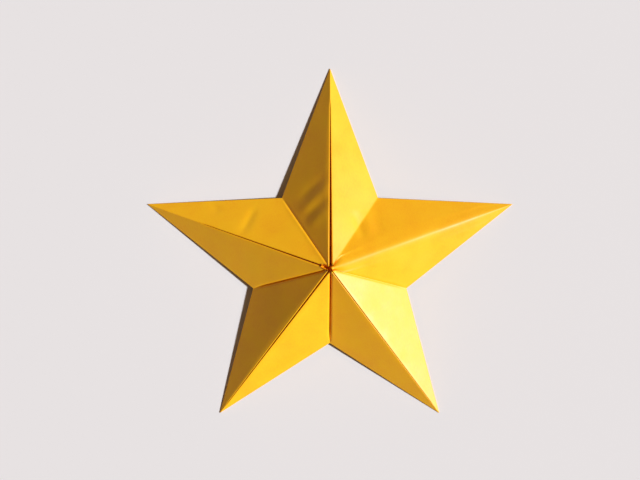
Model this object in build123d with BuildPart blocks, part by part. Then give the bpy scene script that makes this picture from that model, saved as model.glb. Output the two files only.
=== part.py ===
"""Raised five-armed star, folded from one thin sheet of craft paper.

The star lies on the tips of its arms. Z is its middle axis, the table is the plane z = 0,
and one arm points along +Y. Each arm is a tent: a ridge runs down from the middle to the tip,
and a valley crease runs down from the middle to the notch on each side. The sheet turns under
along every outer edge as a hem. Four ridges carry a narrow pleat, which shows as a slit between
two folded edges, and the fifth is one soft fold.
"""

import os
from math import cos, degrees, hypot, radians, sin, tan

from build123d import *

# The star, in millimetres.
tip_radius = 96.0  # from the middle axis to a tip
notch_radius = 40.5  # from the middle axis to a notch between two arms
crown_height = 23.0  # of the ridges at the middle
notch_height = 1.9

# The sheet and its creases.
paper = 0.13
crease_radius = 0.32  # outside of a pleat's folded edge
soft_radius = 1.4  # outside of the unpleated ridge
floor_radius = 0.10  # inside of the crease along the bottom of a pleat

# A pleat's slit, depth and radii where it has closed, near the tip.
closed_slit = 0.40
closed_depth = 0.55
closed_crease_radius = 0.18
closed_floor_radius = 0.05

# The hems.
hem_width = 13.0
hem_gap = 0.26  # air between a face and the hem under it
hem_clearance = 2.0  # from a hem to the middle of the ridge
hem_end_angle = 56.0  # between a hem's end and the outer edge at the notch

# The opening that the pleats leave at the middle.
opening_length = 6.0
opening_width = 2.6
opening_shift = -2.3  # of its middle, along X

# Each arm's direction in degrees, its slit's width and its pleat's depth at the middle, and how
# far from the tip the pleat has closed. The arm with no slit has the soft ridge.
arms = {
    "upper": {"direction": 90.0, "slit": 2.0, "depth": 3.2, "closed_at": 16.0},
    "left": {"direction": 162.0, "slit": 1.8, "depth": 3.0, "closed_at": 27.0},
    "lower_left": {"direction": 234.0, "slit": 1.5, "depth": 2.8, "closed_at": 6.0},
    "lower_right": {"direction": 306.0, "slit": 1.3, "depth": 2.6, "closed_at": 7.0},
    "right": {"direction": 18.0, "slit": 0.0, "depth": 0.0, "closed_at": 0.0},
}

# Derived sizes, for the +Y half of an arm that points along +X.
half_sector = radians(180.0 / len(arms))
tip = Vector(tip_radius, 0, 0)
crown = Vector(0, 0, crown_height)
notch = Vector(notch_radius * cos(half_sector), notch_radius * sin(half_sector), notch_height)
edge_length = (notch - tip).length
edge_direction = (notch - tip).normalized()
face_normal = (notch - tip).cross(crown - tip).normalized()
inward = face_normal.cross(edge_direction)
ridge_fall = crown_height / tip_radius
side_fall = face_normal.Y / face_normal.Z  # of a face, straight across the arm
section_paper = paper / hypot(face_normal.Y, face_normal.Z)
tip_angle = radians((notch - tip).get_angle(crown - tip))
bend_radius = paper + hem_gap / 2  # outside of the turned-under edge
skirt_width = tip_radius * sin(half_sector)  # more than half an arm's width

face_plane = Plane(origin=tip, x_dir=edge_direction, z_dir=face_normal)
hem_plane = face_plane.offset(-paper - hem_gap)
edge_section_plane = Plane(origin=tip, x_dir=inward, z_dir=edge_direction)
face_edge_plane = Plane(origin=tip + inward * bend_radius, x_dir=edge_direction, z_dir=inward)
valley_plane = Plane(origin=(0, 0, 0), x_dir=(0, 0, 1), z_dir=(sin(half_sector), -cos(half_sector), 0))


def pleatSection(x, slit, depth, lip_radius, bottom_radius):
    """The sheet's section across a pleated arm, x from the middle."""
    ridge_z = crown_height - ridge_fall * x
    lip_z = ridge_z - side_fall * slit / 2
    skirt_z = ridge_z - side_fall * skirt_width
    with BuildSketch(Plane.YZ.offset(x)) as section:
        with BuildLine():
            FilletPolyline(
                (-skirt_width, skirt_z),
                (-slit / 2, lip_z),
                (0, lip_z - depth),
                (slit / 2, lip_z),
                (skirt_width, skirt_z),
                radius=(lip_radius, bottom_radius, lip_radius),
            )
            offset(amount=section_paper, side=Side.RIGHT)
        make_face()
    return section.sketch


def foldSection(x, ridge_radius):
    """The sheet's section across an arm with one fold for its ridge, x from the middle."""
    ridge_z = crown_height - ridge_fall * x
    skirt_z = ridge_z - side_fall * skirt_width
    with BuildSketch(Plane.YZ.offset(x)) as section:
        with BuildLine():
            FilletPolyline((-skirt_width, skirt_z), (0, ridge_z), (skirt_width, skirt_z), radius=ridge_radius)
            offset(amount=section_paper, side=Side.RIGHT)
        make_face()
    return section.sketch


def makeArm(slit, depth, closed_at):
    """An arm along +X, from its tip to the valleys on both sides of it."""
    with BuildPart() as arm:
        # The tent of two faces, with its ridge.
        if slit:
            closed_x = tip_radius - closed_at
            open_end = pleatSection(-slit, slit, depth, crease_radius, floor_radius)
            closed_end = pleatSection(
                closed_x, closed_slit, closed_depth, closed_crease_radius, closed_floor_radius
            )
            loft([open_end, closed_end], ruled=True)
            loft([foldSection(closed_x, closed_crease_radius), foldSection(tip_radius, closed_crease_radius)])
        else:
            loft([foldSection(-soft_radius, soft_radius), foldSection(tip_radius, soft_radius)])

        # One half of it, cut where the turned-under edge begins.
        split(bisect_by=Plane.XZ, keep=Keep.BOTTOM)
        split(bisect_by=face_edge_plane, keep=Keep.TOP)

        # The edge turns through a half circle.
        with BuildSketch(edge_section_plane):
            with BuildLine():
                CenterArc((bend_radius, -bend_radius), bend_radius, 90, 180)
                CenterArc((bend_radius, -bend_radius), bend_radius - paper, 90, 180)
                Line((bend_radius, 0), (bend_radius, -paper))
                Line((bend_radius, -2 * bend_radius), (bend_radius, -2 * bend_radius + paper))
            make_face()
        extrude(amount=edge_length)

        # The hem runs back under the face, clear of the ridge and slanted off at the notch.
        with BuildSketch(hem_plane):
            with BuildLine():
                Polyline(
                    (bend_radius / tan(tip_angle) + hem_clearance / sin(tip_angle), bend_radius),
                    (hem_width / tan(tip_angle) + hem_clearance / sin(tip_angle), hem_width),
                    (edge_length - hem_width / tan(radians(hem_end_angle)), hem_width),
                    (edge_length - bend_radius / tan(radians(hem_end_angle)), bend_radius),
                    close=True,
                )
            make_face()
        extrude(amount=-paper)

        # Mitred at the middle of the arm and at the valley.
        split(bisect_by=Plane.XZ, keep=Keep.BOTTOM)
        split(bisect_by=valley_plane, keep=Keep.TOP)
        mirror(about=Plane.XZ)
    return arm.part


with BuildPart() as creased_sheet:
    for size in arms.values():
        with Locations(Rotation(0, 0, size["direction"])):
            add(makeArm(size["slit"], size["depth"], size["closed_at"]))
    with BuildSketch(Plane.XY):
        with Locations((opening_shift, 0)):
            Ellipse(opening_length / 2, opening_width / 2)
    extrude(amount=2 * crown_height, mode=Mode.SUBTRACT)

# The turned-under tips come to rest on the table.
with BuildPart() as folded_star:
    with Locations((0, 0, -creased_sheet.part.bounding_box().min.Z)):
        add(creased_sheet.part)

folded_star.part.label = "folded_star"

os.makedirs("parts", exist_ok=True)
export_step(folded_star.part, "parts/folded_star.step")
print("solids", len(folded_star.part.solids()))
print("volume", round(folded_star.part.volume, 1), "box", folded_star.part.bounding_box())
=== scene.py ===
from math import atan, cos, exp, hypot, pi, radians, sin, sqrt, tan

import bpy
from mathutils import Matrix, Vector, noise


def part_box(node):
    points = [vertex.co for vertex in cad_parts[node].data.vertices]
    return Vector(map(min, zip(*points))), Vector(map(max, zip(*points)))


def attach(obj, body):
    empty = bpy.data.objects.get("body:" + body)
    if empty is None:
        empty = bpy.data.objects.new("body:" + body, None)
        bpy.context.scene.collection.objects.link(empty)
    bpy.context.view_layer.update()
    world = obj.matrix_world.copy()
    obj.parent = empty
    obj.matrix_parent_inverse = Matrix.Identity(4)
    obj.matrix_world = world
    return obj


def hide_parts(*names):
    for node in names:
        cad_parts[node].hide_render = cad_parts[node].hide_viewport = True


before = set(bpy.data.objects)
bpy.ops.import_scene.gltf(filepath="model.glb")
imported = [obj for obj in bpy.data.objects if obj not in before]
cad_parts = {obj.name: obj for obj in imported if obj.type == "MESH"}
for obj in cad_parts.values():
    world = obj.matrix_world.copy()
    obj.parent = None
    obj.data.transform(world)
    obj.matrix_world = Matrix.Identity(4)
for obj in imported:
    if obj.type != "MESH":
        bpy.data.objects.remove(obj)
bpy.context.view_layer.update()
mm = 0.001
print("frame loaded")

# The tip radius and the floor's height are read from the frame. The other sizes repeat the CAD
# star's, and the pleats are narrower than its pleats on all but the upper arm.
cadLow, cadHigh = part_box("folded_star")

star = {
    "tipRadius": cadHigh[1] / mm + 0.28,  # mm, the turned-under edge takes the rest of the point
    "notchRadius": 40.5,
    "crownHeight": 23.32,
    "tipHeight": 0.32,
    "notchHeight": 2.22,
    "paper": 0.13,
    "hemWidth": 13.0,
    "hemGap": 0.26,
    "hemClearance": 2.0,
    "hemEndAngle": 56.0,
    "outerStart": 2.3,  # where a valley starts, from the middle axis
    "rows": 84,
    "notchRowShare": 0.40,
    "faceColumns": 18,
    "columnCrowding": 2.1,  # above 1, columns crowd towards the valley and the edge
    "edgeSteps": 6,
    "hemSteps": 8,
    "innerRoom": 0.9,  # the most of a row's width that the ridge may take
}

# Slit and depth at the middle, how far from the tip the pleat has closed, and where the ridge
# starts from the middle axis. The soft ridge has a wide rounding and no slit.
arms = [
    {
        "name": "upper", "direction": 90, "slit": 1.25, "depth": 3.0,
        "closedAt": 15, "start": 1.2, "crease": 0.36,
    },
    {
        "name": "left", "direction": 162, "slit": 0.55, "depth": 2.4,
        "closedAt": 28, "start": 4.6, "crease": 0.36,
    },
    {
        "name": "lowerLeft", "direction": 234, "slit": 0.5, "depth": 2.4,
        "closedAt": 3, "start": 1.6, "crease": 0.34,
    },
    {
        "name": "lowerRight", "direction": 306, "slit": 0.16, "depth": 1.6,
        "closedAt": 4, "start": 1.5, "crease": 0.24,
    },
    {"name": "right", "direction": 18, "slit": 0, "start": 0.7, "crease": 1.5},
]

# How a pleat changes along its arm, in millimetres
pleat = {
    "openPower": 0.8,
    "restGap": 0.05,
    "restDepth": 0.6,
    "closingRun": 4,
    "tipRun": 9,
    "closedCrease": 0.55,  # the crease's share of its radius once the pleat is closed
    "openCrease": 0.45,  # what opening adds to that share
    "closedTurn": 0.05,
    "creaseSteps": 5,
    "wallShares": (0.0, 0.3, 0.6, 0.85),
}

softRidge = {
    "steps": (0, 0.15, 0.35, 0.6, 0.9, 1.3, 1.8, 2.4, 3.1, 4.0),
    "tipShare": 0.25,
    "fadeLength": 40,
    "tipRun": 7,
}

# Each valley by its direction: how deep its crease tucks in, and how far a folded edge stands
# proud beside it on the arm that is named.
valleys = {
    54: {"tuck": 0.0, "lipArm": None},
    126: {"tuck": 0.25, "lip": 0.22, "lipArm": "left"},
    198: {"tuck": 1.1, "lipArm": None},
    270: {"tuck": 1.5, "lip": 0.12, "lipArm": "lowerRight"},
    342: {"tuck": 0.3, "lipArm": None},
}
valleyCrease = {
    "softness": 0.22,
    "fallShare": 0.8,
    "notchFade": 7,
    "tuckWidth": 0.42,
    "tuckPower": 1.6,
    "lipReach": 0.5,
}

# Dents that handling left: two ends in millimetres on the star, depth, and width.
dents = [
    {"ends": ((-62.6, 34.6), (-55.3, 26.6)), "depth": 0.55, "width": 1.5},
    {"ends": ((-37.5, 26.4), (-41.6, 17.2)), "depth": 0.45, "width": 1.8},
    {"ends": ((-3.0, 43.0), (-13.0, 33.0)), "depth": 0.30, "width": 2.0},
    {"ends": ((-2.5, 37.5), (-12.5, 27.5)), "depth": -0.34, "width": 2.2},
    {"ends": ((-3.0, 32.0), (-12.0, 23.0)), "depth": 0.30, "width": 2.1},
    {"ends": ((-3.5, 26.5), (-9.0, 20.0)), "depth": -0.22, "width": 2.4},
    {"ends": ((12.0, 24.5), (15.5, 14.5)), "depth": 0.34, "width": 1.6},
    {"ends": ((17.0, 25.0), (19.5, 16.5)), "depth": -0.22, "width": 2.0},
    {"ends": ((22.0, 25.5), (24.0, 17.0)), "depth": 0.16, "width": 2.4},
    {"ends": ((-33.0, -50.0), (-18.0, -44.0)), "depth": 0.22, "width": 4.0},
    {"ends": ((36.0, 4.0), (52.0, 8.5)), "depth": 0.26, "width": 4.0},
]

# How dents fade, and the slow waves and ripples of handled paper, in millimetres
handling = {
    "dentEnds": 0.62,
    "waveHeight": 0.16,
    "waveSize": 17,
    "waveLayer": 0.3,
    "rippleHeight": 0.045,
    "rippleSize": 6.5,
    "rippleLayer": 4.1,
    "quietBelow": 1.2,
    "quietFade": 4,
}

# The pit where the pleats run together
pit = {
    "middle": (-1.4, 0.0),
    "depth": 5.2,
    "ringShares": (0.25, 0.5, 0.8),
    "steepness": 0.6,
}

halfSector = radians(36)
tip = Vector((star["tipRadius"], 0, star["tipHeight"]))
crown = Vector((0, 0, star["crownHeight"]))
notch = Vector((
    star["notchRadius"] * cos(halfSector),
    star["notchRadius"] * sin(halfSector),
    star["notchHeight"],
))
edgeLength = (notch - tip).length
edgeWay = (notch - tip).normalized()
faceNormal = (notch - tip).cross(crown - tip).normalized()
inward = faceNormal.cross(edgeWay)
tipAngle = edgeWay.angle(crown - tip)
sideFall = faceNormal.y / faceNormal.z
ridgeFall = faceNormal.x / faceNormal.z
bend = star["paper"] + star["hemGap"] / 2


def faceHeight(x, y):
    # the flat face's height over a place in an arm that points along +X
    return star["crownHeight"] - ridgeFall * x - sideFall * abs(y)


def valleyDistance(x, y):
    return x * sin(halfSector) - abs(y) * cos(halfSector)


def valleyShape(x, y, valley, armName):
    # the crease where two arms meet: rounded, tucked in, or with a folded edge beside it
    soft, away = valleyCrease["softness"], max(valleyDistance(x, y), 0)
    fallAcross = hypot(sideFall, ridgeFall) * valleyCrease["fallShare"]
    height = fallAcross * (sqrt(away * away + soft * soft) - away)
    fade = min(1, max(0, (star["notchRadius"] - hypot(x, y)) / valleyCrease["notchFade"]))
    height -= valley["tuck"] * fade * exp(-(away / valleyCrease["tuckWidth"]) ** valleyCrease["tuckPower"])
    if valley["lipArm"] == armName:
        reach = away / valleyCrease["lipReach"]
        height += valley["lip"] * fade * reach * exp(1 - reach)
    return height


def dentHeight(x, y):
    # what handling has done to the faces, in millimetres, at a place on the whole star
    height = 0
    for dent in dents:
        (ax, ay), (bx, by) = dent["ends"]
        along = ((x - ax) * (bx - ax) + (y - ay) * (by - ay)) / ((bx - ax) ** 2 + (by - ay) ** 2)
        near = min(max(along, 0), 1)
        away = hypot(x - ax - near * (bx - ax), y - ay - near * (by - ay))
        fade = exp(-((along - 0.5) / handling["dentEnds"]) ** 4)
        height -= dent["depth"] * fade * exp(-(away / dent["width"]) ** 2)
    wave, ripple = handling["waveSize"], handling["rippleSize"]
    height += handling["waveHeight"] * noise.noise(Vector((x / wave, y / wave, handling["waveLayer"])))
    height += handling["rippleHeight"] * noise.noise(
        Vector((x / ripple, y / ripple, handling["rippleLayer"]))
    )
    return height


def softProfile(arm, x):
    toTip = star["tipRadius"] - x
    soft = arm["crease"] * min(1, softRidge["tipShare"] + toTip / softRidge["fadeLength"])
    room = min(1, toTip * tan(tipAngle) / softRidge["tipRun"])
    profile = []
    for step in softRidge["steps"]:
        y = step * room
        profile.append((y, faceHeight(x, y) - sideFall * (hypot(y, soft * room) - y)))
    return profile


def ridgeProfile(arm, x):
    # (distance from the ridge, height) of the pleat or fold, from its middle to the flat face
    if not arm["slit"]:
        return softProfile(arm, x)
    reach = star["tipRadius"] - arm["closedAt"]
    openness = min(max(1 - x / reach, 0), 1)
    closing = min(max((x - reach + pleat["closingRun"]) / pleat["closingRun"], 0), 1)
    half = arm["slit"] / 2 * openness ** pleat["openPower"] + pleat["restGap"] * (1 - closing)
    depth = (arm["depth"] * openness + pleat["restDepth"]) * (1 - closing)
    room = min(1, (star["tipRadius"] - x) / pleat["tipRun"])
    radius = arm["crease"] * room * (pleat["closedCrease"] + pleat["openCrease"] * openness)
    middle = half + radius * (1 - closing)
    centre = faceHeight(x, middle) - radius * sqrt(1 + sideFall ** 2)
    lastAngle = pi / 2 - atan(sideFall)
    firstAngle = pi - (pi - lastAngle - pleat["closedTurn"]) * closing
    points = []
    for k in range(pleat["creaseSteps"] + 1):
        angle = firstAngle + (lastAngle - firstAngle) * k / pleat["creaseSteps"]
        points.append((max(middle + radius * cos(angle), 0), centre + radius * sin(angle)))
    first = points[0]
    walls = [(first[0] * share, first[1] - depth * (1 - share)) for share in pleat["wallShares"]]
    return walls + points


def edgeColumn(row, across, down, hemmed):
    # a place on the turned-under edge or its hem: mitred at both ends, so neighbours meet
    if hemmed:
        first = across / tan(tipAngle) + star["hemClearance"] / sin(tipAngle)
        last = edgeLength - across / tan(radians(star["hemEndAngle"]))
    else:
        start = tip + inward * across - faceNormal * down
        first = -start.y / edgeWay.y
        valleyRate = edgeWay.x * sin(halfSector) - edgeWay.y * cos(halfSector)
        last = -(start.x * sin(halfSector) - start.y * cos(halfSector)) / valleyRate
    return tip + edgeWay * (first + (last - first) * row) + inward * across - faceNormal * down


def turnedEdge(start, row):
    # round under the edge, and then inwards along the hem
    line = [start]
    for k in range(1, star["edgeSteps"] + 1):
        angle = pi / 2 + pi * k / star["edgeSteps"]
        across, down = bend + bend * cos(angle), bend - bend * sin(angle)
        line.append(edgeColumn(row, across, down, False))
    for k in range(1, star["hemSteps"] + 1):
        across = bend + (star["hemWidth"] - bend) * k / star["hemSteps"]
        line.append(edgeColumn(row, across, 2 * bend, True))
    return line


def halfArm(arm, valley):
    # rows run from the middle to the tip, and columns from the ridge to the valley or the hem
    rows = []
    notchRow = round(star["rows"] * star["notchRowShare"])
    valleyLength = star["notchRadius"] - star["outerStart"]
    for row in range(star["rows"] + 1):
        if row < notchRow:
            reach = star["outerStart"] + valleyLength * row / notchRow
            outer = Vector((reach * cos(halfSector), reach * sin(halfSector), 0))
            edgeRow = None
        else:
            edgeRow = 1 - (row - notchRow) / (star["rows"] - notchRow)
            outer = edgeColumn(edgeRow, bend, 0, False)
        share = row / star["rows"]
        ridgeX = arm["start"] + (tip.x - bend / sin(tipAngle) - arm["start"]) * share
        if row == star["rows"]:
            ridgeX = outer.x
        points = [Vector((ridgeX, y, z)) for y, z in ridgeProfile(arm, ridgeX)]
        widest = outer.y * star["innerRoom"]
        if points[-1].y > widest:
            squeeze = widest / max(points[-1].y, 1e-6)
            points = [Vector((p.x, p.y * squeeze, p.z)) for p in points]
        inner = points[-1]
        for column in range(1, star["faceColumns"] + 1):
            f = 1 - (1 - column / star["faceColumns"]) ** star["columnCrowding"]
            x, y = inner.x + (outer.x - inner.x) * f, inner.y + (outer.y - inner.y) * f
            z = faceHeight(x, y)
            if row <= notchRow:
                z += valleyShape(x, y, valley, arm["name"])
            points.append(Vector((x, y, z)))
        rows.append((points, edgeRow))
    return rows


def addPit(verts, faces, rim):
    # where the pleats run together, the sheet goes down into a small pit
    loop = []
    for direction in sorted({way for way, side in rim}):
        loop += rim[direction, -1][::-1] + rim[direction, 1]
    loop = [v for i, v in enumerate(loop) if v != loop[i - 1]]
    bottom = Vector((*pit["middle"], star["crownHeight"] - pit["depth"])) * mm
    rings = [loop]
    for share in pit["ringShares"]:
        ring = []
        for v in loop:
            top = Vector(verts[v])
            inner = top.lerp(bottom, share)
            inner.z = top.z + (bottom.z - top.z) * share ** pit["steepness"]
            ring.append(len(verts))
            verts.append(tuple(inner))
        rings.append(ring)
    centre = len(verts)
    verts.append(tuple(bottom))
    for a, b in zip(rings, rings[1:]):
        for k in range(len(a)):
            faces.append([a[k - 1], b[k - 1], b[k], a[k]])
    for k in range(len(loop)):
        faces.append([rings[-1][k - 1], centre, rings[-1][k]])


def buildSheet():
    verts, faces, seen, rim = [], [], {}, {}

    def place(p, direction, side):
        # a place in an arm that points along +X, turned to its direction and dented
        c, s = cos(radians(direction)), sin(radians(direction))
        x, y = p.x * c - p.y * side * s, p.x * s + p.y * side * c
        z = p.z + dentHeight(x, y) * min(1, max(0, (p.z - handling["quietBelow"]) / handling["quietFade"]))
        key = (round(x, 4), round(y, 4), round(z, 4))
        if key not in seen:
            seen[key] = len(verts)
            verts.append((x * mm, y * mm, z * mm))
        return seen[key]

    def addGrid(lines, direction, side):
        grid = [[place(p, direction, side) for p in line] for line in lines]
        for a, b in zip(grid, grid[1:]):
            for k in range(len(a) - 1):
                quad = [a[k], b[k], b[k + 1], a[k + 1]]
                quad = [v for i, v in enumerate(quad) if v not in quad[:i]]
                if len(quad) >= 3:
                    faces.append(quad[::-1] if side < 0 else quad)
        return grid

    for arm in arms:
        direction = arm["direction"]
        for side in (1, -1):
            rows = halfArm(arm, valleys[(direction + 36 * side) % 360])
            grid = addGrid([points for points, edgeRow in rows], direction, side)
            rim[direction, side] = grid[0]
            under = [turnedEdge(points[-1], edgeRow) for points, edgeRow in rows if edgeRow is not None]
            addGrid(under, direction, side)
    addPit(verts, faces, rim)

    mesh = bpy.data.meshes.new("foldedStar")
    mesh.from_pydata(verts, [], faces)
    mesh.validate()
    mesh.update()
    sheet = bpy.data.objects.new("folded_star_sheet", mesh)
    bpy.context.scene.collection.objects.link(sheet)
    for polygon in mesh.polygons:
        polygon.use_smooth = True
    thicken = sheet.modifiers.new("paperThickness", "SOLIDIFY")
    thicken.thickness = star["paper"] * mm
    thicken.offset = -1
    return sheet


sheet = buildSheet()
print("sheet folded:", len(sheet.data.vertices), "points,", len(sheet.data.polygons), "faces")


# Materials
def colour(hexValue):
    # sRGB hex to the linear values that the nodes take
    channels = [int(hexValue[i:i + 2], 16) / 255 for i in (1, 3, 5)]
    return [c / 12.92 if c <= 0.04045 else ((c + 0.055) / 1.055) ** 2.4 for c in channels] + [1]


def addNode(owner, kind, settings=(), links=()):
    # settings go to the node's own values or to its inputs, and links are (socket, input name)
    node = owner.node_tree.nodes.new(kind)
    for name, value in dict(settings).items():
        if hasattr(node, name):
            setattr(node, name, value)
        else:
            node.inputs[name].default_value = value
    for source, name in links:
        owner.node_tree.links.new(source, node.inputs[name])
    return node


paperLook = {
    "face": "#FEBB04",
    "faceDeep": "#FAAF02",
    "faceLight": "#FFC308",
    "roughness": 0.47,
    "specular": 0.5,
    # painted shade in narrow folds: a deep orange standing for bounced light, and the ambient occlusion reach
    # and thresholds that place it
    "paintedFoldShade": "#D8590A",
    "foldReach": 1.6,  # mm
    "foldDark": 0.15,
    "foldClear": 0.62,
    "fibreSize": 0.55,  # mm, coarser than real fibres, so that they show
    "fibreStretch": 0.35,
    "fibreTurn": 0.6,
    "toothSize": 0.28,  # mm
    "cloudSize": 14.0,  # mm
    "fibreShare": 0.45,
    "deepAt": 0.34,
    "lightAt": 0.68,
    "toothShare": 0.5,
    "reliefStrength": 0.35,
    "reliefHeight": 0.05,  # mm
    "smoother": 0.05,
    "rougher": 0.07,
}


def craftPaper():
    # dyed-through craft paper, calendered: an even strong yellow with a faint cloudy look from
    # the pulp, a fine tooth, and a broad soft shine where light grazes it
    material = bpy.data.materials.new("dyedCraftPaper")
    material.use_nodes = True
    material.node_tree.nodes.clear()
    place = addNode(material, "ShaderNodeTexCoord")
    clouds = addNode(
        material, "ShaderNodeTexNoise",
        {"Scale": 1 / (paperLook["cloudSize"] * mm), "Detail": 4.0, "Roughness": 0.55},
        [(place.outputs["Object"], "Vector")],
    )
    fibreStretch = addNode(
        material, "ShaderNodeMapping",
        {"Scale": (1.0, paperLook["fibreStretch"], 1.0), "Rotation": (0.0, 0.0, paperLook["fibreTurn"])},
        [(place.outputs["Object"], "Vector")],
    )
    fibres = addNode(
        material, "ShaderNodeTexNoise",
        {"Scale": 1 / (paperLook["fibreSize"] * mm), "Detail": 5.0, "Roughness": 0.62},
        [(fibreStretch.outputs["Vector"], "Vector")],
    )
    tooth = addNode(
        material, "ShaderNodeTexNoise",
        {"Scale": 1 / (paperLook["toothSize"] * mm), "Detail": 3.0, "Roughness": 0.6},
        [(place.outputs["Object"], "Vector")],
    )
    tone = addNode(
        material, "ShaderNodeMix", {"data_type": "FLOAT", "Factor": paperLook["fibreShare"]},
        [(clouds.outputs["Fac"], "A"), (fibres.outputs["Fac"], "B")],
    )
    ramp = addNode(material, "ShaderNodeValToRGB", (), [(tone.outputs["Result"], "Fac")])
    ramp.color_ramp.elements[0].position = paperLook["deepAt"]
    ramp.color_ramp.elements[0].color = colour(paperLook["faceDeep"])
    ramp.color_ramp.elements[1].position = paperLook["lightAt"]
    ramp.color_ramp.elements[1].color = colour(paperLook["faceLight"])
    middle = ramp.color_ramp.elements.new(0.5)
    middle.color = colour(paperLook["face"])
    # painted shade and bounced light: where a narrow fold shuts out light, the colour is painted a deep
    # orange, standing for light that has bounced about in the fold
    paintedShadeMask = addNode(
        material, "ShaderNodeAmbientOcclusion", {"samples": 8, "Distance": paperLook["foldReach"] * mm},
    )
    depth = addNode(
        material, "ShaderNodeMapRange",
        {"From Min": paperLook["foldDark"], "From Max": paperLook["foldClear"], "To Min": 1.0, "To Max": 0.0},
        [(paintedShadeMask.outputs["AO"], "Value")],
    )
    paintedShadeTint = addNode(material, "ShaderNodeMix", {"data_type": "RGBA"}, [(depth.outputs["Result"], 0)])
    material.node_tree.links.new(ramp.outputs["Color"], paintedShadeTint.inputs[6])
    paintedShadeTint.inputs[7].default_value = colour(paperLook["paintedFoldShade"])
    relief = addNode(
        material, "ShaderNodeMix", {"data_type": "FLOAT", "Factor": paperLook["toothShare"]},
        [(fibres.outputs["Fac"], "A"), (tooth.outputs["Fac"], "B")],
    )
    bump = addNode(
        material, "ShaderNodeBump",
        {"Strength": paperLook["reliefStrength"], "Distance": paperLook["reliefHeight"] * mm},
        [(relief.outputs["Result"], "Height")],
    )
    shine = addNode(
        material, "ShaderNodeMapRange",
        {"From Min": 0.3, "From Max": 0.7, "To Min": paperLook["roughness"] - paperLook["smoother"],
         "To Max": paperLook["roughness"] + paperLook["rougher"]},
        [(clouds.outputs["Fac"], "Value")],
    )
    surface = addNode(
        material, "ShaderNodeBsdfPrincipled",
        {"IOR": 1.5, "Specular IOR Level": paperLook["specular"]},
        [(paintedShadeTint.outputs[2], "Base Color"), (shine.outputs["Result"], "Roughness"),
         (bump.outputs["Normal"], "Normal")],
    )
    addNode(material, "ShaderNodeOutputMaterial", (), [(surface.outputs["BSDF"], "Surface")])
    return material


sheet.data.materials.append(craftPaper())
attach(sheet, "root")
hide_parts("folded_star")
print("paper finished")

# The floor, the light and the camera
studio = {
    "floor": "#E9E9ED",
    "floorSize": 4.0,  # m
    "floorDrop": 0.02,  # mm, so that the points don't sink in
    "floorRoughness": 0.9,
    "floorSpecular": 0.1,
    "backdropStrength": 0.95,
    "lampAzimuth": -5.0,
    "lampElevation": 35.0,
    "lampStrength": 4.7,
    "lampSoftness": 7.0,
    "sky": "#FFCB9A",
    "skyStrength": 0.12,
}


def buildFloor():
    half = studio["floorSize"] / 2
    mesh = bpy.data.meshes.new("floor")
    corners = [(-half, -half, 0), (half, -half, 0), (half, half, 0), (-half, half, 0)]
    mesh.from_pydata(corners, [], [(0, 1, 2, 3)])
    floor = bpy.data.objects.new("floor", mesh)
    bpy.context.scene.collection.objects.link(floor)
    floor.location.z = cadLow[2] - studio["floorDrop"] * mm
    material = bpy.data.materials.new("paleTable")
    material.use_nodes = True
    surface = material.node_tree.nodes["Principled BSDF"]
    surface.inputs["Base Color"].default_value = colour(studio["floor"])
    surface.inputs["Roughness"].default_value = studio["floorRoughness"]
    surface.inputs["Specular IOR Level"].default_value = studio["floorSpecular"]
    mesh.materials.append(material)


def buildLight():
    azimuth, elevation = radians(studio["lampAzimuth"]), radians(studio["lampElevation"])
    towards = Vector((cos(azimuth) * cos(elevation), sin(azimuth) * cos(elevation), sin(elevation)))
    lamp = bpy.data.lights.new("studioLamp", "SUN")
    lamp.energy = studio["lampStrength"]
    lamp.angle = radians(studio["lampSoftness"])
    holder = bpy.data.objects.new("studioLamp", lamp)
    holder.rotation_euler = towards.to_track_quat("Z", "Y").to_euler()
    bpy.context.scene.collection.objects.link(holder)
    world = bpy.data.worlds.new("studio")
    bpy.context.scene.world = world
    world.use_nodes = True
    sky = world.node_tree.nodes["Background"]
    sky.inputs["Color"].default_value = colour(studio["sky"])
    sky.inputs["Strength"].default_value = studio["skyStrength"]
    backdrop = addNode(
        world, "ShaderNodeBackground",
        {"Color": colour(studio["floor"]), "Strength": studio["backdropStrength"]},
    )
    rays = addNode(world, "ShaderNodeLightPath")
    seen = addNode(
        world, "ShaderNodeMath", {"operation": "MAXIMUM"},
        [(rays.outputs["Is Camera Ray"], 0), (rays.outputs["Is Glossy Ray"], 1)],
    )
    mix = addNode(
        world, "ShaderNodeMixShader", (),
        [(seen.outputs["Value"], 0), (sky.outputs["Background"], 1), (backdrop.outputs["Background"], 2)],
    )
    output = world.node_tree.nodes["World Output"]
    world.node_tree.links.new(mix.outputs["Shader"], output.inputs["Surface"])


view = {
    "place": (-4.5, 34.9, 287.2),  # mm, above the star and a little towards its upper arm
    "target": (-4.9, 11.6, 0),  # mm
    "sensorWidth": 36,
    "lens": 32.34,
    "nearest": 0.01,  # m
}


def buildCamera():
    camera = bpy.data.cameras.new("camera")
    camera.sensor_width = view["sensorWidth"]
    camera.lens = view["lens"]
    camera.clip_start = view["nearest"]
    holder = bpy.data.objects.new("camera", camera)
    holder.location = Vector(view["place"]) * mm
    target = Vector(view["target"]) * mm
    back = (holder.location - target).normalized()
    right = Vector((0, 1, 0)).cross(back).normalized()
    up = back.cross(right)
    holder.rotation_euler = Matrix((right, up, back)).transposed().to_euler()
    bpy.context.scene.collection.objects.link(holder)
    bpy.context.scene.camera = holder


buildFloor()
buildLight()
buildCamera()
bpy.context.scene.view_settings.view_transform = "Standard"
print("studio lit")
